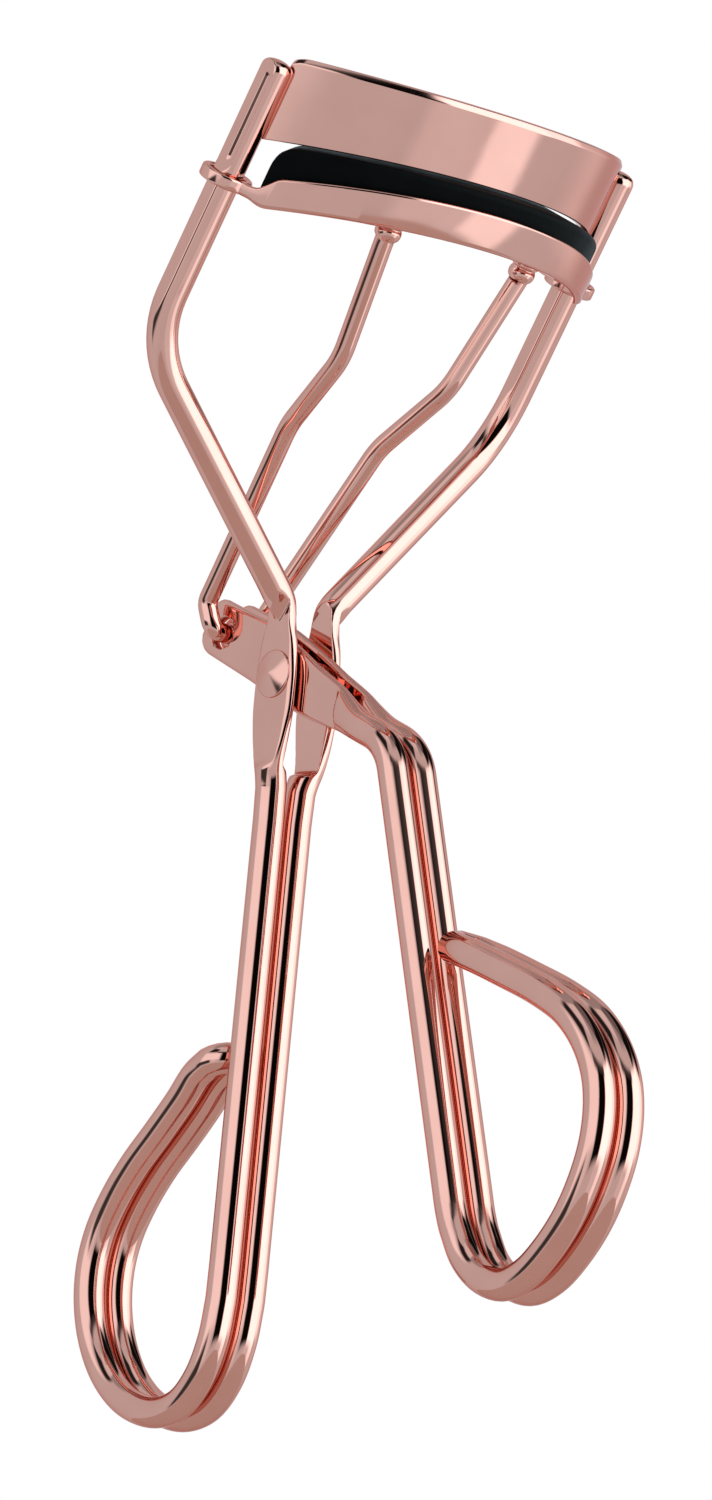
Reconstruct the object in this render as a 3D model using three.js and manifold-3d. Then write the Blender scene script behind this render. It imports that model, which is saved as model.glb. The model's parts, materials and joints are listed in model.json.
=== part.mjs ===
import * as THREE from 'three';
import { mergeVertices } from 'three/addons/utils/BufferGeometryUtils.js';
import Module from 'manifold-3d';

// Eyelash curler. Millimetres. X runs along the pivot, Z up the straight frame handle, -Y is the
// front, where the jaws bulge and the lever handle is. Drawn about the pivot, then stood on z = 0.

// Frame wire and lever wire
const WIRE_R = 1.25;
const PAIR_X = 1.42;
const ROUND = { thick: WIRE_R, wide: WIRE_R, flat: 0 };
const KNEE = [18.39, 0.08, 23.4];
const KNEE_R = 9;
const POST_LEAN = THREE.MathUtils.degToRad(30.78);
const POST_LEN = 24.25;
const HANDLE_Y = 0.35;
const HANDLE_TOP_Z = -9.4;
const HANDLE_END_Z = -46.5;

// Flattened pivot tabs of the frame wire
const TAB_X = 2.26;
const TAB_Y = 0.1;
const TAB_TOP_Z = 5.68;
const TAB_THICK = 0.42;

// Flattened cheeks of the lever wire
const CHEEK_X = 1.275;
const CHEEK_THICK = 0.425;
const ARM = [
  { y: 9.9, z: 5.1, wide: 1.6 }, { y: 9.6, z: 4.95, wide: 2.1 }, { y: 8.9, z: 4.65, wide: 2.32 },
  { y: 3.3, z: 2.2, wide: 2.45 }, { y: 0, z: 0.4, wide: 2.35 }, { y: -3, z: -1.3, wide: 2.12 },
  { y: -6.2, z: -2.75, wide: 1.75 },
];
const ARM_END = [PAIR_X, -9.2, -4.4];
const LEVER_BEND = [PAIR_X, -13.18, -6.1];
const LEVER_BEND_R = 5;
const LEVER_DIR = [-0.3136, -0.9496];
const LEVER_STRAIGHT = 38;

// Finger loops, centre line in (y, z), from the handle round to the hairpin end
const FRAME_LOOP = [
  [0.4, -49.3], [0.9, -52.4], [2.1, -55.3], [4.1, -57.4], [7.0, -58.2], [10.5, -57.5],
  [13.35, -55.6], [15.4, -52.9], [16.55, -49.8], [16.75, -46.8], [16.1, -44.0], [14.65, -41.3],
  [12.65, -38.7], [10.1, -36.1], [7.75, -33.6], [6.1, -31.6],
];
const FRAME_HAIRPIN = { centre: [4.6, -30.6], dir: [-0.94, 0.34] };
const LEVER_LOOP = [
  [-25.7, -43.6], [-27.3, -46.0], [-29.4, -47.5], [-31.7, -47.95], [-34.0, -47.1],
  [-36.1, -45.3], [-38.0, -42.9], [-39.35, -40.2], [-40.15, -37.4], [-40.25, -34.7],
  [-39.7, -32.3], [-38.3, -29.9], [-36.0, -27.7], [-32.8, -26.0], [-28.5, -24.35], [-25.0, -23.1],
];
const LEVER_HAIRPIN = { centre: [-22.9, -22.45], dir: [0.958, 0.287] };

// Pivot
const RIVET_R = 1.1;
const RIVET_HEAD_R = 1.92;
const RIVET_HEAD_H = 0.58;
const RIVET_RIM = 0.12;
const RIVET_GAP = 0.06;
const SPACER_R = 1.7;
const SPACER_GAP = 0.05;

// Jaws: walls on arcs about one axis, parallel to the posts and ARC_BACK behind them. Distances
// along the post are heights [at the jaw's end, gained per mm of bulge].
const ARC_BACK = 11.78;
const ARC_END_X = 17;
const PLATE = {
  radius: 21.33, end: 17.3, thick: 0.95, bevel: 0.33,
  bottom: [18.27, 0.413], front: [24.7, 0.283], top: [25.18, 0.274],
};
const JAW = { radius: 23.02, width: 5, wall: 0.6, bottom: [13.49, 0.488], top: [16.09, 0.541] };
const JAW_CHANNEL_END = 16.3;
const LIP_END = 17.7;
const STRIP = { from: 17.2, to: 18.5, bottom: [13.68, 0], top: [14.73, 0] };
const EYE = { at: 14.2, height: 1.05, inner: 1.5, outer: 2.1 };
const PAD = { end: 17.6, side: 0.72, round: 0.55, lift: 1.45, top: [18.69, 0.383] };

// Push rods
const ROD_R = 0.79;
const ROD_TOP = [7.115, -13.72, 33.0];
const ROD_UPPER_BEND = [5.7, -7.99, 23.91];
const ROD_LOWER_BEND = [4.74, -1.38, 19.56];
const ROD_HEEL = [3.08, 8.6, 6.3];
const HOOK = { y: 7.95, z: 4.05, outer: 2.75, inner: 0.3, hole: 1.35, head: 1.25, headFrom: 0.7 };
const COLLAR = { radius: 1.12, height: 1.75, below: 0.28 };
const TENON = { radius: 0.7, hole: 0.82, head: 1.05, headHeight: 0.3, gap: 0.3 };

const RING = 12;
const ARC_STEPS = 22;
const HOLE_SEGMENTS = 32;

const v3 = (x, y, z) => new THREE.Vector3(x, y, z);
const X_AXIS = v3(1, 0, 0);
const POST_UP = v3(0, -Math.sin(POST_LEAN), Math.cos(POST_LEAN));
const POST_FRONT = v3(0, -Math.cos(POST_LEAN), -Math.sin(POST_LEAN));
const mirrored = (p) => v3(-p.x, p.y, p.z);

const wasm = await Module();
wasm.setup();

function toManifold(geometry) {
  const g = geometry.clone();
  g.deleteAttribute('normal');
  g.deleteAttribute('uv');
  const merged = mergeVertices(g, 1e-5);
  return new wasm.Manifold(new wasm.Mesh({
    numProp: 3,
    vertProperties: Float32Array.from(merged.attributes.position.array),
    triVerts: Uint32Array.from(merged.index.array),
  }));
}

function toGeometry(manifold) {
  const mesh = manifold.getMesh();
  const g = new THREE.BufferGeometry();
  g.setAttribute('position', new THREE.BufferAttribute(mesh.vertProperties, 3));
  g.setIndex(new THREE.BufferAttribute(mesh.triVerts, 1));
  return g;
}

// Closed solid through equal rings of points, with flat ends cut along the outline `section`
function loft(rings, section) {
  const n = rings[0].length;
  const positions = rings.flat().flatMap((p) => [p.x, p.y, p.z]);
  const caps = THREE.ShapeUtils.triangulateShape(section, []);
  const last = (rings.length - 1) * n;
  const index = [];
  for (let i = 0; i < rings.length - 1; i += 1) {
    for (let k = 0; k < n; k += 1) {
      const a = i * n + k;
      const b = i * n + ((k + 1) % n);
      index.push(a, b, a + n, b, b + n, a + n);
    }
  }
  for (const [a, b, c] of caps) {
    index.push(a, c, b, last + a, last + b, last + c);
  }
  return outward(positions, index);
}

function outward(positions, index) {
  const at = (i) => v3(positions[3 * i], positions[3 * i + 1], positions[3 * i + 2]);
  let volume = 0;
  for (let i = 0; i < index.length; i += 3) {
    volume += at(index[i]).dot(at(index[i + 1]).cross(at(index[i + 2])));
  }
  const g = new THREE.BufferGeometry();
  g.setAttribute('position', new THREE.Float32BufferAttribute(positions, 3));
  g.setIndex(volume > 0 ? index : index.reverse());
  return g;
}

// Unit outline of a wire: a circle at flat = 0, a flat-sided bar with rounded edges at flat = 1
function wireOutline(flat) {
  const bar = [[1, 0], [1, 0.86], [0.55, 1]];
  const points = [];
  for (let k = 0; k < RING; k += 1) {
    const angle = (2 * Math.PI * k) / RING;
    const cx = Math.cos(angle);
    const cy = Math.sin(angle);
    const step = k % (RING / 2);
    const [bx, by] = step <= 2 ? bar[step] : step === 3 ? [0, 1] : bar[RING / 2 - step];
    const sideX = cx < -1e-9 ? -1 : 1;
    const sideY = cy < -1e-9 ? -1 : 1;
    points.push(new THREE.Vector2(
      THREE.MathUtils.lerp(cx, sideX * bx, flat),
      THREE.MathUtils.lerp(cy, sideY * by, flat),
    ));
  }
  return points;
}

// Stations along a wire: corner points joined by arcs, each carrying its section
const corner = (point, section = ROUND, bend = 0, steps = 6) => ({ p: v3(...point), section, bend, steps });

function stations(corners) {
  const out = [];
  corners.forEach((c, i) => {
    if (c.bend === 0) {
      out.push({ p: c.p, section: c.section });
      return;
    }
    const before = corners[i - 1].p.clone().sub(c.p).normalize();
    const after = corners[i + 1].p.clone().sub(c.p).normalize();
    const half = before.angleTo(after) / 2;
    const centre = before.clone().add(after).normalize().multiplyScalar(c.bend / Math.sin(half)).add(c.p);
    const from = before.multiplyScalar(c.bend / Math.tan(half)).add(c.p).sub(centre);
    const to = after.multiplyScalar(c.bend / Math.tan(half)).add(c.p).sub(centre);
    const sweep = Math.PI - 2 * half;
    for (let k = 0; k <= c.steps; k += 1) {
      const t = k / c.steps;
      const a = from.clone().multiplyScalar(Math.sin((1 - t) * sweep) / Math.sin(sweep));
      const b = to.clone().multiplyScalar(Math.sin(t * sweep) / Math.sin(sweep));
      out.push({ p: a.add(b).add(centre), section: c.section });
    }
  });
  return out;
}

function sweepRings(path, anchor) {
  const tangents = path.map((s, i) => {
    const next = path[Math.min(i + 1, path.length - 1)].p.clone();
    return next.sub(path[Math.max(i - 1, 0)].p).normalize();
  });
  const normals = [];
  const carry = (normal, tangent) => normal.clone()
    .addScaledVector(tangent, -normal.dot(tangent))
    .normalize();
  normals[anchor] = carry(X_AXIS, tangents[anchor]);
  for (let i = anchor + 1; i < path.length; i += 1) normals[i] = carry(normals[i - 1], tangents[i]);
  for (let i = anchor - 1; i >= 0; i -= 1) normals[i] = carry(normals[i + 1], tangents[i]);
  return path.map(({ p, section }, i) => {
    const side = tangents[i].clone().cross(normals[i]);
    return wireOutline(section.flat).map((o) => p.clone()
      .addScaledVector(normals[i], o.x * section.thick)
      .addScaledVector(side, o.y * section.wide));
  });
}

// One wire bent symmetrically: the right half, ending at x = 0, and its mirror image
function pairedWire(half, isAnchor) {
  const beyond = { p: mirrored(half[half.length - 2].p), section: ROUND };
  const rings = sweepRings([...half, beyond], half.findIndex(isAnchor)).slice(0, -1);
  const others = rings.slice(0, -1).reverse().map((ring) => ring.map(mirrored));
  return toManifold(loft([...rings, ...others], wireOutline(0)));
}

// Loop of one wire of a pair, ending half way round its hairpin at x = 0
function fingerLoop(points, hairpin) {
  const [cy, cz] = hairpin.centre;
  const [dy, dz] = hairpin.dir;
  const curve = new THREE.CatmullRomCurve3(
    [...points, hairpin.centre].map(([y, z]) => v3(PAIR_X, y, z)), false, 'centripetal');
  const out = curve.getSpacedPoints(34).map((p) => ({ p, section: ROUND }));
  for (let k = 1; k <= 4; k += 1) {
    const angle = (k * Math.PI) / 8;
    const reach = PAIR_X * Math.sin(angle);
    out.push({ p: v3(PAIR_X * Math.cos(angle), cy + dy * reach, cz + dz * reach), section: ROUND });
  }
  return out;
}

function cutCylinder(solid, centre, radius, from, to, axis = X_AXIS) {
  const g = new THREE.CylinderGeometry(radius, radius, to - from, HOLE_SEGMENTS);
  g.applyQuaternion(new THREE.Quaternion().setFromUnitVectors(v3(0, 1, 0), axis));
  const middle = centre.clone().addScaledVector(axis, (from + to) / 2);
  return solid.subtract(toManifold(g.translate(middle.x, middle.y, middle.z)));
}

// Frame wire
const postPoint = (along, front = 0) => v3(...KNEE)
  .addScaledVector(POST_UP, along)
  .addScaledVector(POST_FRONT, front);
const scaled = (k) => ({ thick: WIRE_R * k, wide: WIRE_R * k, flat: 0 });
const tab = (wide) => ({ thick: TAB_THICK, wide, flat: 1 });

function frameWire() {
  const dome = [[0, 0.35], [0.12, 0.68], [0.38, 0.9], [0.8, 1]];
  const half = [
    ...dome.map(([down, k]) => ({ p: postPoint(POST_LEN - down), section: scaled(k) })),
    ...stations([
      corner(postPoint(POST_LEN - 2).toArray()),
      corner(KNEE, ROUND, KNEE_R, 8),
      corner([TAB_X, TAB_Y, TAB_TOP_Z], { thick: 0.75, wide: 1.4, flat: 0.6 }, 3.5, 4),
      corner([TAB_X, TAB_Y, 2.6], tab(1.85)),
      corner([TAB_X, TAB_Y, 0], tab(2.2)),
      corner([TAB_X, TAB_Y, -3], tab(2.2)),
      corner([TAB_X, TAB_Y, -5.2], tab(1.8)),
      corner([TAB_X - 0.1, TAB_Y + 0.05, -6.6], { thick: 0.6, wide: 1.5, flat: 0.8 }),
      corner([PAIR_X + 0.25, HANDLE_Y - 0.05, -8.0], { thick: 1.0, wide: 1.3, flat: 0.2 }),
      corner([PAIR_X, HANDLE_Y, HANDLE_TOP_Z]),
      corner([PAIR_X, HANDLE_Y, HANDLE_END_Z]),
    ]),
    ...fingerLoop(FRAME_LOOP, FRAME_HAIRPIN),
  ];
  const solid = pairedWire(half, ({ p }) => p.x === TAB_X && p.z === 0);
  return toGeometry(cutCylinder(solid, v3(0, 0, 0), RIVET_R + RIVET_GAP, -5, 5));
}

// Lever wire
function leverWire() {
  const bend = v3(...LEVER_BEND);
  const half = [
    ...stations([
      ...ARM.map(({ y, z, wide }) => corner([CHEEK_X, y, z], { thick: CHEEK_THICK, wide, flat: 1 })),
      corner([PAIR_X - 0.07, -7.7, -3.55], { thick: 0.8, wide: 1.4, flat: 0.6 }),
      corner(ARM_END),
      corner(LEVER_BEND, ROUND, LEVER_BEND_R, 6),
      corner([PAIR_X, bend.y + LEVER_DIR[0] * LEVER_STRAIGHT, bend.z + LEVER_DIR[1] * LEVER_STRAIGHT]),
    ]),
    ...fingerLoop(LEVER_LOOP, LEVER_HAIRPIN),
  ];
  let solid = pairedWire(half, ({ p }) => p.x === CHEEK_X && p.y === 0);
  solid = cutCylinder(solid, v3(0, 0, 0), RIVET_R + RIVET_GAP, -5, 5);
  return toGeometry(cutCylinder(solid, v3(0, HOOK.y, HOOK.z), HOOK.hole, -5, 5));
}

// Point of a jaw wall: x of the outer face, depth behind it, and height along the post
function jawPoint(radius, x, depth, [base, rise]) {
  const angle = Math.asin(x / radius);
  const bulge = radius * Math.cos(angle) - Math.sqrt(radius * radius - ARC_END_X * ARC_END_X);
  return v3(0, KNEE[1], KNEE[2])
    .addScaledVector(X_AXIS, (radius - depth) * Math.sin(angle))
    .addScaledVector(POST_FRONT, (radius - depth) * Math.cos(angle) - ARC_BACK)
    .addScaledVector(POST_UP, base + rise * bulge);
}

const raised = ([base, rise], by) => [base + by, rise];

// Outline points are [depth, height]
function jawSweep(radius, from, to, outline) {
  const section = outline.map(([depth, [base]]) => new THREE.Vector2(-depth, base));
  const rings = [];
  for (let i = 0; i <= ARC_STEPS; i += 1) {
    const x = THREE.MathUtils.lerp(from, to, i / ARC_STEPS);
    rings.push(outline.map(([depth, height]) => jawPoint(radius, x, depth, height)));
  }
  return loft(rings, section);
}

function upperJawPlate() {
  const { radius, end, thick, bevel, bottom, front, top } = PLATE;
  return jawSweep(radius, -end, end, [
    [0, raised(bottom, 0.12)], [0, front], [bevel, top], [thick, top], [thick, bottom], [0.12, bottom],
  ]);
}

function eyeRing(side) {
  const profile = [
    [EYE.inner, 0], [EYE.outer, 0], [EYE.outer, EYE.height], [EYE.inner, EYE.height], [EYE.inner, 0],
  ].map(([r, h]) => new THREE.Vector2(r, h));
  const g = new THREE.LatheGeometry(profile, HOLE_SEGMENTS);
  g.applyQuaternion(new THREE.Quaternion().setFromUnitVectors(v3(0, 1, 0), POST_UP));
  const at = postPoint(EYE.at - EYE.height / 2);
  return toManifold(g.translate(side * at.x, at.y, at.z));
}

function lowerJaw() {
  const { radius, width, wall, bottom, top } = JAW;
  const edge = 0.25;
  const floor = raised(bottom, wall);
  const channel = [
    [0, raised(bottom, edge)], [0, top], [wall, top], [wall, floor], [width - wall, floor],
    [width - wall, top], [width, top], [width, raised(bottom, edge)], [width - edge, bottom],
    [edge, bottom],
  ];
  const wallBetween = (low, high) => [[0, low], [0, high], [wall, high], [wall, low]];
  let solid = toManifold(jawSweep(radius, -JAW_CHANNEL_END, JAW_CHANNEL_END, channel));
  for (const side of [-1, 1]) {
    const along = (from, to) => [side * from, side * to].sort((a, b) => a - b);
    const lipWall = wallBetween(raised(bottom, edge), top);
    const lip = jawSweep(radius, ...along(JAW_CHANNEL_END - 0.5, LIP_END), lipWall);
    const stripWall = wallBetween(STRIP.bottom, STRIP.top);
    const strip = jawSweep(radius, ...along(STRIP.from, STRIP.to), stripWall);
    solid = solid.add(toManifold(lip)).add(toManifold(strip));
    solid = solid.add(eyeRing(side));
    const post = v3(side * KNEE[0], KNEE[1], KNEE[2]);
    solid = cutCylinder(solid, post, EYE.inner, 5, POST_LEN, POST_UP);
    solid = cutCylinder(solid, rodAxisAt(side), TENON.hole, -6, 6, POST_UP);
  }
  return toGeometry(solid);
}

function jawPad() {
  const { end, side, round, lift, top } = PAD;
  const inner = JAW.width - side;
  const foot = raised(JAW.bottom, lift);
  return jawSweep(JAW.radius, -end, end, [
    [side, foot], [side, raised(top, -round)], [side + 0.3 * round, raised(top, -0.3 * round)],
    [side + round, top], [inner - round, top], [inner - 0.3 * round, raised(top, -0.3 * round)],
    [inner, raised(top, -round)], [inner, foot],
  ]);
}

// Push rods
function rodAxisAt(side) {
  return v3(side * ROD_TOP[0], ROD_TOP[1], ROD_TOP[2]);
}

function jawWebUnder(side) {
  const top = rodAxisAt(side);
  const back = top.clone().sub(v3(0, KNEE[1], KNEE[2])).dot(POST_FRONT) + ARC_BACK;
  const outerX = JAW.radius * Math.sin(Math.atan2(top.x, back));
  return jawPoint(JAW.radius, outerX, 0, JAW.bottom).sub(top).dot(POST_UP);
}

function pushrod(side) {
  const web = jawWebUnder(side);
  const at = (along) => rodAxisAt(side).addScaledVector(POST_UP, along);
  const disc = (r) => ({ thick: r, wide: r, flat: 0 });
  const tenonTop = web + JAW.wall + TENON.gap;
  const path = [
    { p: at(tenonTop + TENON.headHeight), section: disc(TENON.head * 0.6) },
    { p: at(tenonTop + TENON.headHeight * 0.5), section: disc(TENON.head) },
    { p: at(tenonTop), section: disc(TENON.head) },
    { p: at(tenonTop - 0.01), section: disc(TENON.radius) },
    { p: at(web - COLLAR.below + 0.01), section: disc(TENON.radius) },
    { p: at(web - COLLAR.below), section: disc(COLLAR.radius) },
    { p: at(web - COLLAR.below - COLLAR.height * 0.65), section: disc(COLLAR.radius) },
    { p: at(web - COLLAR.below - COLLAR.height), section: disc(ROD_R) },
    ...stations([
      corner(rodAxisAt(side).addScaledVector(POST_UP, -1.3).toArray(), disc(ROD_R)),
      corner([side * ROD_UPPER_BEND[0], ROD_UPPER_BEND[1], ROD_UPPER_BEND[2]], disc(ROD_R), 3, 4),
      corner([side * ROD_LOWER_BEND[0], ROD_LOWER_BEND[1], ROD_LOWER_BEND[2]], disc(ROD_R), 3, 4),
      corner([side * ROD_HEEL[0], ROD_HEEL[1], ROD_HEEL[2]], disc(ROD_R), 1.0, 4),
      corner([side * HOOK.outer, HOOK.y, HOOK.z], disc(ROD_R), 0.95, 5),
      ...[
        [HOOK.headFrom + 0.05, ROD_R], [HOOK.headFrom, HOOK.head], [HOOK.inner + 0.1, HOOK.head],
        [HOOK.inner, HOOK.head * 0.85],
      ].map(([x, r]) => corner([side * x, HOOK.y, HOOK.z], disc(r))),
    ]),
  ];
  return loft(sweepRings(path, 0), wireOutline(0));
}

// Pivot
function lathedOnPivot(profile) {
  const g = new THREE.LatheGeometry(profile.map(([r, x]) => new THREE.Vector2(r, x)), HOLE_SEGMENTS);
  return g.rotateZ(-Math.PI / 2);
}

function pivotRivet() {
  const seat = TAB_X + TAB_THICK + RIVET_GAP;
  const top = seat + RIVET_HEAD_H;
  return lathedOnPivot([
    [0, -top], [RIVET_HEAD_R - RIVET_RIM, -seat - RIVET_RIM], [RIVET_HEAD_R, -seat - RIVET_RIM / 2],
    [RIVET_HEAD_R, -seat], [RIVET_R, -seat], [RIVET_R, seat], [RIVET_HEAD_R, seat],
    [RIVET_HEAD_R, seat + RIVET_RIM / 2], [RIVET_HEAD_R - RIVET_RIM, seat + RIVET_RIM], [0, top],
  ]);
}

function pivotSpacer() {
  const half = CHEEK_X - CHEEK_THICK - SPACER_GAP;
  const bore = RIVET_R + RIVET_GAP;
  return lathedOnPivot([[bore, -half], [SPACER_R, -half], [SPACER_R, half], [bore, half], [bore, -half]]);
}

const roseGold = () => new THREE.MeshStandardMaterial({ color: 0xd9a596, roughness: 0.18, metalness: 1 });
const rubber = () => new THREE.MeshStandardMaterial({ color: 0x141416, roughness: 0.6, metalness: 0 });

const model = new THREE.Group();
model.name = 'eyelash_curler';

function addPiece(parent, name, geometry, material) {
  const mesh = new THREE.Mesh(geometry, material);
  mesh.name = name;
  parent.add(mesh);
}

addPiece(model, 'frame_wire', frameWire(), roseGold());
addPiece(model, 'upper_jaw_plate', upperJawPlate(), roseGold());
addPiece(model, 'pivot_rivet', pivotRivet(), roseGold());
addPiece(model, 'pivot_spacer', pivotSpacer(), roseGold());
addPiece(model, 'lever_wire', leverWire(), roseGold());
addPiece(model, 'lower_jaw', lowerJaw(), roseGold());
addPiece(model, 'jaw_pad', jawPad(), rubber());
addPiece(model, 'pushrod_left', pushrod(-1), roseGold());
addPiece(model, 'pushrod_right', pushrod(1), roseGold());

const box = new THREE.Box3().setFromObject(model, true);
model.position.set(0, -(box.min.y + box.max.y) / 2, -box.min.z);

export default model;
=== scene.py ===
"""Looks of the eyelash curler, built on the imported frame. Drawn in millimetres about the pivot."""

import json
import math

import bpy
import numpy as np
from mathutils import Matrix, Vector


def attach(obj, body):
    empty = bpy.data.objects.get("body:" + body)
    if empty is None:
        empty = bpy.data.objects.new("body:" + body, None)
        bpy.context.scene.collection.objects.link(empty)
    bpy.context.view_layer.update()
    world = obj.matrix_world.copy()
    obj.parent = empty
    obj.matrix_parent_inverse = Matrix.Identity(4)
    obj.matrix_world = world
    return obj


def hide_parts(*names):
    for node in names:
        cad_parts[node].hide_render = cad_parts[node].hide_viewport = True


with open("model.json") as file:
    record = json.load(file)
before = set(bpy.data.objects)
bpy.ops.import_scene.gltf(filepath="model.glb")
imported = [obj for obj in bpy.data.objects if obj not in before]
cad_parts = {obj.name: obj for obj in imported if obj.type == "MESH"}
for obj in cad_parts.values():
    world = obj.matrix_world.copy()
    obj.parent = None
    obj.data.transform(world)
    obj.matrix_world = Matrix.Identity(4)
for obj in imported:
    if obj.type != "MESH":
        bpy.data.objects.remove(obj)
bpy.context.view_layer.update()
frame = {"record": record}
joints = {j["name"]: j for j in frame["record"]["behaviour"]["joints"]}
PIVOT = np.array(joints["lever_pivot"]["pos_m"])
MM = 0.001

# Wires
WIRE_R = 1.25
PAIR_X = 1.42
KNEE = np.array([18.39, 0.08, 23.4])
KNEE_R = 9
LEAN = math.radians(30.78)
POST_UP = np.array([0, -math.sin(LEAN), math.cos(LEAN)])
POST_FRONT = np.array([0, -math.cos(LEAN), -math.sin(LEAN)])
POST_LEN = 24.25
POST_FLAT_FROM = 14.6             # along the post, where its flats get deeper
POST_OUTER, POST_INNER = 1.09, 1.11   # from the post's axis to its outer and inner flats
GROOVE_ALONG, GROOVE_FRONT, GROOVE_DEEP = (15.7, 23.2), (0.22, 0.84), 0.17
ROUND = (WIRE_R, WIRE_R)
TAB = (1.84, 2.68)                # |x| of the pressed tab's two faces
TAB_X, TAB_Y = 2.26, 0.1
TAB_LOW, TAB_TOP_OUT, TAB_TOP_IN = -7.6, 6.7, 7.0     # z where the pressing runs out
TONGUE_LEN, TONGUE_HALF = 1.5, 1.5    # where the round wire runs out into the tab's outer face
CHEEK = (0.85, 1.7)               # |x| of the lever's cheek faces
CHEEK_X = 1.275
CHEEK_FROM = -7.3                 # y where the pressing runs out
LEVER_BEND = np.array([PAIR_X, -13.18, -6.1])
LEVER_DOWN = np.array([0, -0.3136, -0.9496])
LEVER_STRAIGHT = 38
HOOK_Y, HOOK_Z = 7.95, 4.05
HOLE_R = 1.35
FRAME_LOOP = [
    (0.4, -49.3), (0.9, -52.4), (2.1, -55.3), (4.1, -57.4), (7.0, -58.2), (10.5, -57.5),
    (13.35, -55.6), (15.4, -52.9), (16.55, -49.8), (16.75, -46.8), (16.1, -44.0), (14.65, -41.3),
    (12.65, -38.7), (10.1, -36.1), (7.75, -33.6), (6.1, -31.6), (4.6, -30.6),
]
FRAME_HAIRPIN = (-0.94, 0.34)
LEVER_LOOP = [
    (-25.7, -43.6), (-27.3, -46.0), (-29.4, -47.5), (-31.7, -47.95), (-34.0, -47.1),
    (-36.1, -45.3), (-38.0, -42.9), (-39.35, -40.2), (-40.15, -37.4), (-40.25, -34.7),
    (-39.7, -32.3), (-38.3, -29.9), (-36.0, -27.7), (-32.8, -26.0), (-28.5, -24.35), (-25.0, -23.1),
    (-22.9, -22.45),
]
LEVER_HAIRPIN = (0.958, 0.287)

# Jaws: heights are (at the jaw's end, gained per mm of bulge)
ARC_BACK = 11.78
ARC_END_X = 17
PLATE_R, PLATE_END, PLATE_THICK = 21.33, 17.55, 0.95
PLATE_BOTTOM, PLATE_TOP = (18.27, 0.413), (25.18, 0.274)
JAW_R, JAW_WIDTH, WALL = 23.02, 5, 0.6
JAW_BOTTOM, JAW_TOP = (13.49, 0.488), (16.09, 0.541)
STRIP_LOW, STRIP_HIGH = 13.68, 14.73
STRIP_FROM, STRIP_RAMP, STRIP_END = 16.6, 1.3, 18.5
CHANNEL_END, CHANNEL_RISE = 16.3, 0.8
PAD_TOP = (18.69, 0.383)
PAD_SIDE, PAD_FOOT, PAD_END = 0.72, 1.45, 17.6
PAD_ROUND, PAD_DROP = 1.1, 1.3
EYE_AT, EYE_R, EYE_HALF = 14.2, 1.8, (0.3, 0.525)

# Push rods
ROD_R = 0.79
ROD_TOP = np.array([7.115, -13.72, 33.0])
ROD_BENDS = [((5.7, -7.99, 23.91), 6), ((4.74, -1.38, 19.56), 6), ((3.08, 8.6, 6.3), 1.0)]
HOOK_OUT, HOOK_IN = 2.75, 0.75
COLLAR = [   # along the post from the channel's underside, radius
    (0.95, 0.6), (0.93, 0.7), (0.02, 0.7), (0.0, 0.95), (-0.03, 1.08), (-0.1, 1.12), (-0.26, 1.12),
    (-0.34, 1.06), (-0.4, 0.98), (-0.46, 0.96), (-0.54, 0.99), (-0.66, 1.05), (-0.85, 1.09),
    (-1.08, 1.08), (-1.28, 1.02), (-1.42, 0.92), (-1.5, 0.84), (-1.56, ROD_R),
]
ROD_FROM = -1.58
UPSET = [   # x, radius
    (0.72, 1.3), (0.7, 1.4), (0.66, 1.45), (0.42, 1.45), (0.34, 1.4), (0.3, 1.28)]

# Pivot: (x, radius)
HEAD_R, HEAD_SLOPE, HEAD_CURVE = 1.76, 0.31, 0.03
HEAD_RIM = [(-0.5, 1.88), (-0.02, 1.9), (0.04, 1.92), (0.09, 1.9), (0.13, 1.84), (0.15, HEAD_R)]
SHANK_R = 1.1
SLEEVE = [(-0.79, 1.2), (-0.8, 1.64), (-0.74, 1.7), (0.74, 1.7), (0.8, 1.64), (0.79, 1.2)]

AROUND = 64     # points round a wire
STEP = 0.05     # between the finest stations along a wire


# Geometry helpers
def unit(v):
    return v / np.linalg.norm(v)


def smoothstep(t):
    t = np.clip(t, 0, 1)
    return t * t * (3 - 2 * t)


def gauss(values, sigma, step):
    """Values sampled every `step`, smoothed over `sigma`, with the ends kept."""
    reach = int(4 * sigma / step)
    if reach < 1:
        return values
    weights = np.exp(-0.5 * (np.arange(-reach, reach + 1) * step / sigma) ** 2)
    padded = np.concatenate([
        2 * values[:1] - values[reach:0:-1], values, 2 * values[-1:] - values[-2:-reach - 2:-1]])
    columns = [np.convolve(c, weights / weights.sum(), "valid") for c in padded.T]
    return np.stack(columns, 1)


def corner(point, section=ROUND, bend=0.0):
    """A point of the wire's axis, its half thickness along X and half width, and a bend radius."""
    return np.array(point, float), section, bend


def fillet(before, p, after, radius, count):
    """Points on the arc that rounds the corner at p."""
    back, ahead = unit(before - p), unit(after - p)
    half = math.acos(np.clip(back @ ahead, -1, 1)) / 2
    centre = p + unit(back + ahead) * radius / math.sin(half)
    start = p + back * radius / math.tan(half) - centre
    end = p + ahead * radius / math.tan(half) - centre
    sweep = math.pi - 2 * half
    return [
        centre + (start * math.sin((1 - t) * sweep) + end * math.sin(t * sweep)) / math.sin(sweep)
        for t in np.linspace(0, 1, count)]


def polyline(corners):
    """Rows of x, y, z, thick, wide along corners rounded by their bend radii."""
    rows = []
    for i, (p, section, bend) in enumerate(corners):
        points = [p]
        if bend:
            points = fillet(corners[i - 1][0], p, corners[i + 1][0], bend, 25)
        rows += [[*q, *section] for q in points]
    return np.array(rows)


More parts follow.
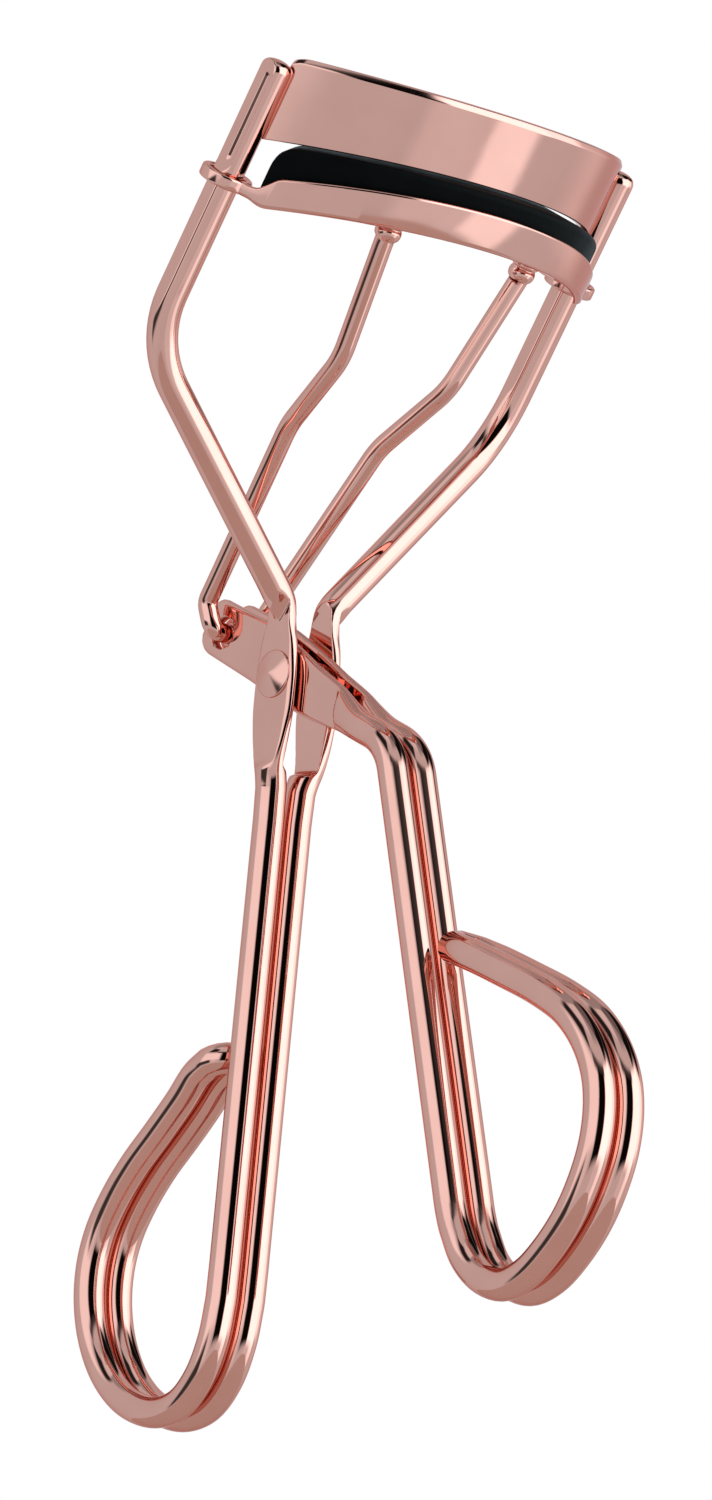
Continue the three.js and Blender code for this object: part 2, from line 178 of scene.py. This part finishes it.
def arc_lengths(rows):
    steps = np.linalg.norm(np.diff(rows[:, :3], axis=0), axis=1)
    return np.concatenate([[0], np.cumsum(steps)])


def resample(rows, step):
    """The rows again, evenly spaced."""
    s = arc_lengths(rows)
    at = np.linspace(0, s[-1], max(2, int(round(s[-1] / step)) + 1))
    return np.stack([np.interp(at, s, c) for c in rows.T], 1)


def loop_points(points):
    """Centripetal Catmull-Rom curve through (y, z) points, every 0.1 mm or so."""
    p = np.array(points, float)
    p = np.vstack([2 * p[0] - p[1], p, 2 * p[-1] - p[-2]])
    out = []
    for i in range(1, len(p) - 2):
        q = p[i - 1:i + 3]
        t = np.concatenate([[0], np.cumsum(np.linalg.norm(np.diff(q, axis=0), axis=1) ** 0.5)])
        for u in np.linspace(t[1], t[2], 30, endpoint=False):
            a = [((t[k + 1] - u) * q[k] + (u - t[k]) * q[k + 1]) / (t[k + 1] - t[k])
                 for k in range(3)]
            b = [((t[k + 2] - u) * a[k] + (u - t[k]) * a[k + 1]) / (t[k + 2] - t[k])
                 for k in range(2)]
            out.append(((t[2] - u) * b[0] + (u - t[1]) * b[1]) / (t[2] - t[1]))
    out.append(p[-2])
    return np.array(out)


def finger_loop(points, hairpin):
    """Rows of one wire's loop, ending half way round its hairpin at x = 0."""
    yz = loop_points(points)
    rows = [[PAIR_X, y, z, *ROUND] for y, z in yz]
    for angle in np.linspace(0, math.pi / 2, 14)[1:]:
        reach = PAIR_X * math.sin(angle)
        y, z = yz[-1] + reach * np.array(hairpin)
        rows.append([PAIR_X * math.cos(angle), y, z, *ROUND])
    return np.array(rows)


def pick(rows, step, spacing):
    """Stations of rows, which lie every `step`, at least `spacing(row)` apart."""
    keep, last = [0], 0.0
    for i in range(1, len(rows) - 1):
        if (i - last) * step >= spacing(rows[i]):
            keep.append(i)
            last = i
    return rows[keep + [len(rows) - 1]]


def rings_along(rows, anchor):
    """Rings of AROUND points round the stations, carried from X at the anchor without twist."""
    p = rows[:, :3]
    ends = np.vstack([p[:1], p, p[-1:]])
    tangents = np.array([unit(d) for d in ends[2:] - ends[:-2]])
    normals = np.zeros_like(p)

    def carry(normal, tangent):
        return unit(normal - tangent * (normal @ tangent))

    normals[anchor] = carry(np.array([1.0, 0, 0]), tangents[anchor])
    for i in range(anchor + 1, len(p)):
        normals[i] = carry(normals[i - 1], tangents[i])
    for i in range(anchor - 1, -1, -1):
        normals[i] = carry(normals[i + 1], tangents[i])
    sides = np.cross(tangents, normals)
    angles = 2 * math.pi * (np.arange(AROUND) + 0.5) / AROUND
    thick, wide = rows[:, 3, None, None], rows[:, 4, None, None]
    return (p[:, None] + normals[:, None] * np.cos(angles)[None, :, None] * thick
            + sides[:, None] * np.sin(angles)[None, :, None] * wide)


def both_halves(rings):
    """Right-half rings that end on x = 0, and their mirror image, as one run."""
    mirror = rings[:-1][::-1] * np.array([-1, 1, 1])
    joined = rings.copy()
    joined[-1, :, 0] = 0
    return np.concatenate([joined, mirror])


def tube(rings, closed=False):
    """Vertices and faces of a skin through equal rings, capped with fans unless closed."""
    n, m = rings.shape[:2]
    verts = rings.reshape(-1, 3).tolist()
    faces = []
    for i in range(n if closed else n - 1):
        a, b = i * m, ((i + 1) % n) * m
        faces += [(a + k, a + (k + 1) % m, b + (k + 1) % m, b + k) for k in range(m)]
    if not closed:
        for ring, order in ((0, -1), (n - 1, 1)):
            verts.append(rings[ring].mean(0).tolist())
            cap = [(ring * m + k, ring * m + (k + 1) % m, len(verts) - 1) for k in range(m)]
            faces += [f[::order] for f in cap]
    return verts, faces


def build(name, parts, material, body, nodes):
    """One smooth object from (verts, faces) parts, in place of CAD nodes that ride a body."""
    verts, faces = [], []
    for v, f in parts:
        base = len(verts)
        verts += v
        faces += [tuple(base + k for k in face) for face in f]
    co = np.array(verts) * MM + PIVOT
    mesh = bpy.data.meshes.new(name)
    mesh.from_pydata(co.tolist(), [], faces)
    mesh.validate()
    obj = bpy.data.objects.new(name, mesh)
    bpy.context.collection.objects.link(obj)
    bpy.context.view_layer.objects.active = obj
    bpy.ops.object.select_all(action="DESELECT")
    obj.select_set(True)
    bpy.ops.object.mode_set(mode="EDIT")
    bpy.ops.mesh.select_all(action="SELECT")
    bpy.ops.mesh.normals_make_consistent(inside=False)
    bpy.ops.object.mode_set(mode="OBJECT")
    mesh.shade_smooth()
    mesh.materials.append(material)
    obj.modifiers.new("normals", "WEIGHTED_NORMAL").weight = 80
    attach(obj, body)
    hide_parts(*nodes)
    return obj


# Materials
EDGE_TINT = (0.8, 0.5, 0.47)   # keeps the plating pink at a grazing angle
CLOUDS = [(0.3, (0.81, 0.40, 0.325)), (0.7, (0.85, 0.425, 0.35))]
RUBBER_CLOUDS = [(0.3, (0.002, 0.0022, 0.0022)), (0.75, (0.0035, 0.004, 0.004))]
PAPER_CLOUDS = [(0.3, (0.40, 0.33, 0.30)), (0.7, (0.42, 0.345, 0.315))]


def material(name):
    m = bpy.data.materials.new(name)
    m.use_nodes = True
    nodes = m.node_tree.nodes
    return m, nodes, m.node_tree.links, nodes["Principled BSDF"]


def noise(nodes, links, coord, scale, detail=4.0, stretch=None):
    source = coord
    if stretch:
        mapping = nodes.new("ShaderNodeMapping")
        mapping.inputs["Scale"].default_value = stretch
        links.new(coord, mapping.inputs["Vector"])
        source = mapping.outputs["Vector"]
    n = nodes.new("ShaderNodeTexNoise")
    n.inputs["Scale"].default_value = scale
    n.inputs["Detail"].default_value = detail
    links.new(source, n.inputs["Vector"])
    return n.outputs["Fac"]


def ramp(nodes, links, fac, stops):
    r = nodes.new("ShaderNodeValToRGB")
    while len(r.color_ramp.elements) < len(stops):
        r.color_ramp.elements.new(0.5)
    for e, (at, colour) in zip(r.color_ramp.elements, stops):
        e.position = at
        e.color = (*colour, 1)
    links.new(fac, r.inputs["Fac"])
    return r.outputs["Color"]


def add_bump(nodes, links, shader, height, strength, distance):
    b = nodes.new("ShaderNodeBump")
    b.inputs["Strength"].default_value = strength
    b.inputs["Distance"].default_value = distance
    links.new(height, b.inputs["Height"])
    links.new(b.outputs["Normal"], shader.inputs["Normal"])


def rose_gold(name, rough=(0.03, 0.06), bump=0.006, grain=0.0):
    """Polished rose-gold plating: faint cloudiness, fine polishing lines and, at will, a grain."""
    m, nodes, links, shader = material(name)
    shader.inputs["Metallic"].default_value = 1.0
    shader.inputs["Specular Tint"].default_value = (*EDGE_TINT, 1)
    coord = nodes.new("ShaderNodeTexCoord").outputs["Object"]
    cloud = noise(nodes, links, coord, 260, 5)
    links.new(ramp(nodes, links, cloud, CLOUDS), shader.inputs["Base Color"])
    lines = noise(nodes, links, coord, 900, 3, (1, 1, 0.18))
    r = ramp(nodes, links, lines, [(0.25, (rough[0],) * 3), (0.8, (rough[1],) * 3)])
    links.new(r, shader.inputs["Roughness"])
    height = noise(nodes, links, coord, 420, 2)
    if grain:
        fine = noise(nodes, links, coord, 4200, 3)
        mix = nodes.new("ShaderNodeMath")
        mix.operation = "MULTIPLY_ADD"
        mix.inputs[1].default_value = grain
        links.new(fine, mix.inputs[0])
        links.new(height, mix.inputs[2])
        height = mix.outputs[0]
    add_bump(nodes, links, shader, height, bump, 0.0004)
    return m


def pad_rubber():
    """Matt black rubber with a fine bloom."""
    m, nodes, links, shader = material("pad_rubber")
    coord = nodes.new("ShaderNodeTexCoord").outputs["Object"]
    cloud = noise(nodes, links, coord, 500, 5)
    links.new(ramp(nodes, links, cloud, RUBBER_CLOUDS), shader.inputs["Base Color"])
    links.new(ramp(nodes, links, cloud, [(0.2, (0.42,) * 3), (0.8, (0.58,) * 3)]),
              shader.inputs["Roughness"])
    shader.inputs["Specular IOR Level"].default_value = 0.035
    add_bump(nodes, links, shader, noise(nodes, links, coord, 3500, 4), 0.25, 0.00005)
    return m


WIRE = rose_gold("rose_gold_wire")
SHEET = rose_gold("rose_gold_sheet", (0.07, 0.12), 0.02)
PRESSED = rose_gold("rose_gold_pressed", (0.12, 0.2), 0.05, 0.25)
RUBBER = pad_rubber()


# Frame wire
def post_point(along):
    return KNEE + POST_UP * along


def within(value, limits):
    return (value > limits[0]) & (value < limits[1])


def press_post(rings):
    """Flats on the posts' sides, a deeper one at the top with a long groove in its outer face."""
    along = (rings - KNEE) @ POST_UP
    front = (rings - KNEE) @ POST_FRONT
    x = rings[:, :, 0]
    top = smoothstep((along - POST_FLAT_FROM) / 0.7)
    outer = KNEE[0] + POST_OUTER - 0.27 * top
    groove = (within(along, GROOVE_ALONG) & within(front, GROOVE_FRONT)) * GROOVE_DEEP
    inner = KNEE[0] - POST_INNER + 0.1 * top
    run_in = 0.5 * (1 - smoothstep((along - 2) / 3))
    x = np.where(along > -9, np.minimum(x, outer - groove), x)
    x = np.where(along > 2, np.maximum(x, inner - run_in), x)
    rings[:, :, 0] = x
    return rings


def press_between(rings, zone, planes):
    """Squeeze |x| between two die planes inside a zone, given as 0 to 1 per point."""
    x = rings[:, :, 0]
    squeezed = np.clip(x, *planes)
    rings[:, :, 0] = x + (squeezed - x) * zone
    return rings


def frame_wire():
    """Both posts, the cage arms, the pressed tabs, the straight handle and its loop: one wire."""
    dome = [(0, 0.3), (0.06, 0.52), (0.16, 0.72), (0.3, 0.85), (0.5, 0.95), (0.8, 1)]
    head = np.array([[*post_point(POST_LEN - d), WIRE_R * k, WIRE_R * k] for d, k in dome])
    body = polyline([
        corner(post_point(POST_LEN - 1)),
        corner(KNEE, ROUND, KNEE_R),
        corner((TAB_X, TAB_Y, 5.68), (1.2, 1.3), 3.5),
        corner((TAB_X, TAB_Y, 2.6), (0.95, 1.9)),
        corner((TAB_X, TAB_Y, 0), (0.8, 2.28)),
        corner((TAB_X, TAB_Y, -3), (0.8, 2.28)),
        corner((TAB_X, TAB_Y, -5.2), (0.95, 1.85)),
        corner((TAB_X - 0.1, TAB_Y + 0.05, -6.6), (1.1, 1.5)),
        corner((PAIR_X + 0.25, 0.3, -8.0), (1.2, 1.3)),
        corner((PAIR_X, 0.35, -9.4)),
        corner((PAIR_X, 0.35, -46.5)),
    ])
    rows = resample(np.vstack([body, finger_loop(FRAME_LOOP, FRAME_HAIRPIN)]), STEP)
    soft = gauss(rows, 0.55, STEP)
    near_pivot = smoothstep((rows[:, 2] + 11) / 2) * smoothstep((12 - rows[:, 2]) / 2)
    rows += (soft - rows) * near_pivot[:, None] * (rows[:, :1] < 14)

    def spacing(row):
        """Close stations where the wire is pressed or grooved, wide ones where it is straight."""
        if row[2] > 34:
            return 0.16
        if row[2] > 9:
            return 0.7
        if row[2] > -9:
            return 0.1 if row[2] > 3.5 else 0.18
        return 2.5 if row[2] > -46 and row[1] < 0.5 else 0.5

    rows = np.vstack([head, pick(rows, STEP, spacing)])
    anchor = int(np.argmin(np.abs(rows[:, 2]) + 50 * (rows[:, 0] > 3)))
    rings = press_post(rings_along(rows, anchor))
    z = rings[:, :, 2]
    tongue = TONGUE_LEN * (1 - smoothstep(np.abs(rings[:, :, 1] - TAB_Y) / TONGUE_HALF))
    upper = np.where(rings[:, :, 0] > TAB_X, TAB_TOP_OUT - tongue, TAB_TOP_IN)
    zone = smoothstep((z - TAB_LOW) / 0.7) * smoothstep((upper - z) / 1.1) * (rings[:, :, 0] < 8)
    rings = press_between(rings, zone, TAB)
    build("frame_wire_form", [tube(both_halves(rings))], WIRE, "frame", ["frame_wire"])


def lever_wire():
    """The lever's cheeks, cranked handle and loop: one wire, with a hook hole in each cheek."""
    body = polyline([
        corner((CHEEK_X, 9.95, 5.12), (0.8, 1.35)),
        corner((CHEEK_X, 9.8, 5.05), (0.8, 1.85)),
        corner((CHEEK_X, 9.5, 4.92), (0.8, 2.2)),
        corner((CHEEK_X, 8.9, 4.65), (0.8, 2.35)),
        corner((CHEEK_X, 3.3, 2.2), (0.8, 2.48)),
        corner((CHEEK_X, 0, 0.4), (0.8, 2.38)),
        corner((CHEEK_X, -3, -1.3), (0.8, 2.14)),
        corner((CHEEK_X, -6.2, -2.75), (0.9, 1.75)),
        corner((PAIR_X - 0.07, -7.7, -3.55), (1.1, 1.42)),
        corner((PAIR_X, -9.2, -4.4)),
        corner(LEVER_BEND, ROUND, 5),
        corner(LEVER_BEND + LEVER_DOWN * LEVER_STRAIGHT),
    ])
    rows = resample(np.vstack([body, finger_loop(LEVER_LOOP, LEVER_HAIRPIN)]), STEP)
    soft = gauss(rows, 0.5, STEP)
    middle = smoothstep((9 - rows[:, 1]) / 1.5) * smoothstep((rows[:, 1] + 11) / 2)
    rows += (soft - rows) * middle[:, None]

    def spacing(row):
        """Close stations in the cheeks and the crank, wide ones along the straight handle."""
        if row[1] > -9:
            return 0.2
        if row[1] > -18 and row[2] > -14:
            return 0.35
        return 2.5 if row[2] > -42 and row[1] > -25 and row[1] - row[2] < 20 else 0.5

    rows = pick(rows, STEP, spacing)
    anchor = int(np.argmin(np.abs(rows[:, 1]) + 50 * (rows[:, 2] < -5)))
    rings = rings_along(rows, anchor)
    zone = smoothstep((rings[:, :, 1] - CHEEK_FROM) / 0.6) * (rings[:, :, 2] > -8)
    rings = press_between(rings, zone, CHEEK)
    obj = build("lever_wire_form", [tube(both_halves(rings))], WIRE, "lever", ["lever_wire"])
    drill(obj, HOOK_Y, HOOK_Z, HOLE_R)


def drill(obj, y, z, radius):
    """A hole along X through the object, with its edges left crisp."""
    centre = Vector(PIVOT + np.array([0, y, z]) * MM)
    bpy.ops.mesh.primitive_cylinder_add(
        vertices=72, radius=radius * MM, depth=12 * MM, location=centre,
        rotation=(0, math.pi / 2, 0))
    cutter = bpy.context.object
    cut = obj.modifiers.new("hole", "BOOLEAN")
    cut.object = cutter
    cut.operation = "DIFFERENCE"
    cut.solver = "EXACT"
    bpy.context.view_layer.objects.active = obj
    bpy.ops.object.modifier_move_to_index(modifier="hole", index=0)
    bpy.ops.object.modifier_apply(modifier="hole")
    bpy.data.objects.remove(cutter)


# Jaws
def jaw_point(radius, x, depth, height):
    """A point from x on the outer face, the depth behind it and a height pair along the post."""
    angle = np.arcsin(x / radius)
    bulge = radius * np.cos(angle) - math.sqrt(radius ** 2 - ARC_END_X ** 2)
    along = height[0] + height[1] * bulge
    return (np.array([0, KNEE[1], KNEE[2]]) + np.array([(radius - depth) * np.sin(angle), 0, 0])
            + POST_FRONT * ((radius - depth) * np.cos(angle) - ARC_BACK) + POST_UP * along)


def rounded(points, radii, steps=5):
    """Closed outline with its corners rounded."""
    points = np.array(points, float)
    out, n = [], len(points)
    for i, (p, r) in enumerate(zip(points, radii)):
        out += fillet(points[i - 1], p, points[(i + 1) % n], r, steps + 1) if r else [p]
    return np.array(out)


def jaw_sweep(radius, x_from, x_to, outline_at, end_round=0.2, count=120):
    """Rings of an outline of (depth, height above the base curve, base curve) along the arc."""
    xs = [x_from + end_round * (1 - math.cos(t)) for t in np.linspace(0, math.pi / 2, 5)]
    insets = [end_round * (1 - math.sin(t)) for t in np.linspace(0, math.pi / 2, 5)]
    xs = xs[:-1] + np.linspace(x_from + end_round, x_to - end_round, count).tolist() \
        + [x_to - (v - x_from) for v in xs[:-1]][::-1]
    insets = insets[:-1] + [0.0] * count + insets[:-1][::-1]
    rings = []
    for x, inset in zip(xs, insets):
        outline, base = outline_at(x)
        centre = (outline.min(0) + outline.max(0)) / 2
        size = (outline.max(0) - outline.min(0)) / 2
        shrunk = centre + (outline - centre) * np.maximum(0.05, 1 - inset / size)
        rings.append([jaw_point(radius, x, d, (base[0] + h, base[1])) for d, h in shrunk])
    return np.array(rings)


def bulge_at(radius, x):
    return math.sqrt(radius ** 2 - x * x) - math.sqrt(radius ** 2 - ARC_END_X ** 2)


def rise_between(radius, x, low, high):
    """Height of one jaw edge above another at x."""
    return high[0] - low[0] + (high[1] - low[1]) * bulge_at(radius, x)


def upper_plate():
    """Curved strip between the posts, with a chamfered upper lip that drops away at each end."""
    def outline_at(x):
        tall = rise_between(PLATE_R, x, PLATE_BOTTOM, PLATE_TOP)
        end = np.clip((abs(x) - (PLATE_END - 0.7)) / 0.7, 0, 1)
        tall -= 0.45 * (1 - math.sqrt(1 - end * end))
        points = [(0, 0), (0, tall - 0.38), (0.26, tall), (PLATE_THICK, tall), (PLATE_THICK, 0)]
        return rounded(points, [0.12, 0.3, 0.12, 0.2, 0.12]), PLATE_BOTTOM

    rings = jaw_sweep(PLATE_R, -PLATE_END, PLATE_END, outline_at, 0.12, 160)
    build("upper_jaw_plate_form", [tube(rings)], SHEET, "frame", ["upper_jaw_plate"])


def front_wall():
    """The lower jaw's front wall, which narrows at each end into the strip to the post's eye."""
    def outline_at(x):
        drop = float(smoothstep((abs(x) - STRIP_FROM) / STRIP_RAMP))
        base = JAW_BOTTOM[0] + JAW_BOTTOM[1] * bulge_at(JAW_R, x)
        full = rise_between(JAW_R, x, JAW_BOTTOM, JAW_TOP)
        tall = full + (STRIP_HIGH - base - full) * drop
        low = (STRIP_LOW - base) * drop
        points = [(0, low), (0, tall), (WALL, tall), (WALL, low)]
        return rounded(points, [0.42, 0.2, 0.2, 0.12]), JAW_BOTTOM

    return jaw_sweep(JAW_R, -STRIP_END, STRIP_END, outline_at, 0.1, 200)


def channel():
    """Web and rear wall of the lower jaw's channel, behind the front wall."""
    def outline_at(x):
        tall = rise_between(JAW_R, x, JAW_BOTTOM, JAW_TOP)
        inner = JAW_WIDTH - WALL
        low = 0.02 + CHANNEL_RISE * float(smoothstep((abs(x) - 10.5) / 5))
        floor = low + WALL - 0.02
        points = [(0.25, low), (0.25, floor), (inner, floor),
                  (inner, tall), (JAW_WIDTH, tall), (JAW_WIDTH, low)]
        return rounded(points, [0, 0, 0.5, 0.2, 0.2, 1.3]), JAW_BOTTOM

    return jaw_sweep(JAW_R, -CHANNEL_END, CHANNEL_END, outline_at, 0.15, 120)


def eye(side):
    """Band round the post: a rounded bar swept round a circle."""
    half_r, half_h = EYE_HALF
    box = [(-half_r, -half_h), (-half_r, half_h), (half_r, half_h), (half_r, -half_h)]
    outline = rounded(box, [0.22] * 4)
    centre = post_point(EYE_AT) * np.array([side, 1, 1])
    rings = []
    for angle in np.linspace(0, 2 * math.pi, 72, endpoint=False):
        out = np.array([math.sin(angle), 0, 0]) + POST_FRONT * math.cos(angle)
        rings.append([centre + out * (EYE_R + r) + POST_UP * h for r, h in outline])
    return np.array(rings)


def lower_jaw():
    """Channel with its front wall, and an eye for each post."""
    parts = [tube(front_wall()), tube(channel())]
    parts += [tube(eye(side), closed=True) for side in (-1, 1)]
    build("lower_jaw_form", parts, SHEET, "jaw", ["lower_jaw"])


def jaw_pad():
    """Rubber strip standing in the channel, with a soft upper edge and rounded ends."""
    far = JAW_WIDTH - PAD_SIDE

    def outline_at(x):
        tall = rise_between(JAW_R, x, JAW_BOTTOM, PAD_TOP)
        over = max(0.0, abs(x) - (PAD_END - PAD_ROUND)) / PAD_ROUND
        tall -= PAD_DROP * (1 - math.sqrt(max(0.0, 1 - over ** 2)))
        points = [(PAD_SIDE, PAD_FOOT), (PAD_SIDE, tall), (far, tall), (far, PAD_FOOT)]
        return rounded(points, [0.1, 0.55, 0.55, 0.1], 8), JAW_BOTTOM

    rings = jaw_sweep(JAW_R, -PAD_END, PAD_END, outline_at, 0.25, 160)
    build("jaw_pad_form", [tube(rings)], RUBBER, "jaw", ["jaw_pad"])


# Push rods
def pushrod(side, node):
    """Rod from its collar under the channel to its hook and upset end between the cheeks."""
    depth = (ROD_TOP - np.array([0, KNEE[1], KNEE[2]])) @ POST_FRONT + ARC_BACK
    outer_x = JAW_R * ROD_TOP[0] / math.hypot(ROD_TOP[0], depth)
    web = (jaw_point(JAW_R, outer_x, 0, JAW_BOTTOM) - ROD_TOP) @ POST_UP
    head = np.array([[*(ROD_TOP + POST_UP * (web + a)), r, r] for a, r in COLLAR])
    thin = (ROD_R, ROD_R)
    body = polyline(
        [corner(ROD_TOP + POST_UP * (web + ROD_FROM), thin)]
        + [corner(p, thin, bend) for p, bend in ROD_BENDS]
        + [corner((HOOK_OUT, HOOK_Y, HOOK_Z), thin, 0.95), corner((HOOK_IN, HOOK_Y, HOOK_Z), thin)])
    rows = pick(resample(body, STEP), STEP, lambda row: 0.3)
    tail = np.array([[x, HOOK_Y, HOOK_Z, r, r] for x, r in UPSET])
    rings = rings_along(np.vstack([head, rows, tail]), 3)
    rings = rings * np.array([side, 1, 1])
    build(node + "_form", [tube(rings)], WIRE, "rods", [node])


# Pivot
def turned(profile, side=1):
    """Surface of revolution about the pivot axis, from an (x, radius) profile."""
    angles = 2 * math.pi * np.arange(96) / 96
    return tube(np.array([
        np.stack([np.full(96, side * x), r * np.cos(angles), r * np.sin(angles)], 1)
        for x, r in profile]))


def pivot():
    """Rivet with two shallow conical heads, and the sleeve between the cheeks."""
    seat = TAB[1] + 0.02
    cone = [(HEAD_RIM[-1][0] + HEAD_SLOPE * (HEAD_R - r) - HEAD_CURVE * (HEAD_R - r) ** 2, r)
            for r in (1.6, 1.3, 1, 0.7, 0.4, 0.15, 0.01)]
    head = [(seat + x, r) for x, r in HEAD_RIM + cone]
    rivet = [turned(head), turned(head, -1), turned([(-seat, SHANK_R), (seat, SHANK_R)])]
    build("pivot_rivet_form", rivet, WIRE, "frame", ["pivot_rivet"])
    build("pivot_spacer_form", [turned(SLEEVE)], PRESSED, "frame", ["pivot_spacer"])


frame_wire()
lever_wire()
upper_plate()
lower_jaw()
jaw_pad()
pushrod(-1, "pushrod_left")
pushrod(1, "pushrod_right")
pivot()


# Studio
FACING = 130.9   # turns azimuth 0 to the camera's side; positive is to its right
TENT_LEVEL = 0.65
TENT_TINT = (0.95, 1.14, 1.23)
# Cards, each over the ones before: azimuth from and to, elevation from and to, edge softness in
# degrees, brightness
TENT = [
    (-180, 180, -90, -44, 8, 0.56),
    (-180, 180, 62, 91, 6, 0.38),
    (-66, 12, 62, 91, 6, 0.8),
    (60, 150, 66, 91, 8, 0.16),
    (-180, -152, -6, 38, 6, 0.85),
    (152, 180, 0, 36, 8, 0.75),
    (-76, -12, -9, 34, 6, 1.15),
    (-44, -20, -22, -8, 5, 0.85),
    (-84, -42, -25, -7, 4, 0.05),
    (110, 138, -12, 22, 8, 0.9),
    (28, 66, -46, -22, 5, 0.78),
    (66, 92, -42, -18, 3, 1.25),
    (92, 112, -9, 34, 5, 1.7),
    (35, 93, -20, 42, 5, 2.0),
    (70, 148, 44, 66, 4, 0.006),
    (106, 146, 27, 46, 4, 0.008),
    (-74, -30, 41, 62, 4, 0.02),
    (-28, 42, 34, 44, 4, 0.08),
    (-8, 35, -20, 38, 4, 0.003),
]


FLOOR_R, FLOOR_Z = 0.2, -0.1
FLOOR_GLOW, FLOOR_GLOW_TINT = 0.26, (1.0, 0.96, 0.94)

# Camera: in front, to the left and below, in millimetres from the pivot
CAMERA_AT = (-320.34, -377.9, -84.87)
CAMERA_RIGHT = (0.7429, -0.6628, 0.0942)
CAMERA_AHEAD = (0.646, 0.7466, 0.1589)
LENS = 152.69


def set_camera():
    data = bpy.data.cameras.new("camera")
    camera = bpy.data.objects.new("camera", data)
    bpy.context.collection.objects.link(camera)
    bpy.context.scene.camera = camera
    data.sensor_width = 36
    data.lens = LENS
    right = Vector(CAMERA_RIGHT).normalized()
    ahead = Vector(CAMERA_AHEAD).normalized()
    up = right.cross(ahead)
    place = Vector(CAMERA_AT) * MM + Vector(PIVOT)
    facing = Matrix((right, up, -ahead)).transposed().to_4x4()
    camera.matrix_world = Matrix.Translation(place) @ facing
    data.clip_start, data.clip_end = 0.01, 50


def set_tent():
    """A pale tent: mid grey all round, softboxes at the sides, a dark gap near the camera."""
    world = bpy.data.worlds.new("studio")
    bpy.context.scene.world = world
    world.use_nodes = True
    nodes, links = world.node_tree.nodes, world.node_tree.links
    bpy.context.scene.view_settings.view_transform = "Standard"

    def math_node(operation, *values):
        n = nodes.new("ShaderNodeMath")
        n.operation = operation
        for socket, value in zip(n.inputs, values):
            if isinstance(value, (int, float)):
                socket.default_value = value
            else:
                links.new(value, socket)
        return n.outputs[0]

    def step_up(value, at, soft):
        n = nodes.new("ShaderNodeMapRange")
        n.interpolation_type = "SMOOTHSTEP"
        links.new(value, n.inputs["Value"])
        n.inputs["From Min"].default_value = math.radians(at - soft)
        n.inputs["From Max"].default_value = math.radians(at + soft)
        return n.outputs["Result"]

    turn = nodes.new("ShaderNodeVectorRotate")
    turn.rotation_type = "Z_AXIS"
    turn.inputs["Angle"].default_value = math.radians(FACING)
    links.new(nodes.new("ShaderNodeTexCoord").outputs["Generated"], turn.inputs["Vector"])
    xyz = nodes.new("ShaderNodeSeparateXYZ")
    links.new(turn.outputs["Vector"], xyz.inputs["Vector"])
    azimuth = math_node("ARCTAN2", xyz.outputs["Y"], xyz.outputs["X"])
    elevation = math_node("ARCSINE", xyz.outputs["Z"])
    level = TENT_LEVEL
    for az0, az1, el0, el1, soft, value in TENT:
        mask = step_up(elevation, el0, soft)
        for low, angle, at in ((True, azimuth, az0), (False, azimuth, az1), (False, elevation, el1)):
            if abs(at) == 180:   # the card goes all the way round
                continue
            rise = step_up(angle, at, soft)
            mask = math_node("MULTIPLY", mask, rise if low else math_node("SUBTRACT", 1.0, rise))
        level = math_node("MULTIPLY_ADD", mask, math_node("SUBTRACT", value, level), level)
    background = nodes["Background"]
    background.inputs["Color"].default_value = (*TENT_TINT, 1)
    links.new(level, background.inputs["Strength"])
    plain = nodes.new("ShaderNodeBackground")
    plain.inputs["Color"].default_value = (1, 1, 1, 1)
    mix = nodes.new("ShaderNodeMixShader")
    links.new(nodes.new("ShaderNodeLightPath").outputs["Is Camera Ray"], mix.inputs["Fac"])
    links.new(background.outputs[0], mix.inputs[1])
    links.new(plain.outputs[0], mix.inputs[2])
    links.new(mix.outputs[0], nodes["World Output"].inputs["Surface"])


def set_floor():
    """Pale paper below the object, with a faint glow that keeps its reflection free of grain."""
    bpy.ops.mesh.primitive_circle_add(
        vertices=96, radius=FLOOR_R, fill_type="NGON", location=(0, 0, FLOOR_Z))
    floor = bpy.context.object
    floor.name = "floor"
    m, nodes, links, shader = material("floor_paper")
    coord = nodes.new("ShaderNodeTexCoord").outputs["Object"]
    cloud = noise(nodes, links, coord, 3)
    links.new(ramp(nodes, links, cloud, PAPER_CLOUDS), shader.inputs["Base Color"])
    shader.inputs["Roughness"].default_value = 0.9
    shader.inputs["Emission Color"].default_value = (*FLOOR_GLOW_TINT, 1)
    shader.inputs["Emission Strength"].default_value = FLOOR_GLOW
    floor.data.materials.append(m)


set_camera()
set_tent()
set_floor()
bpy.context.view_layer.update()
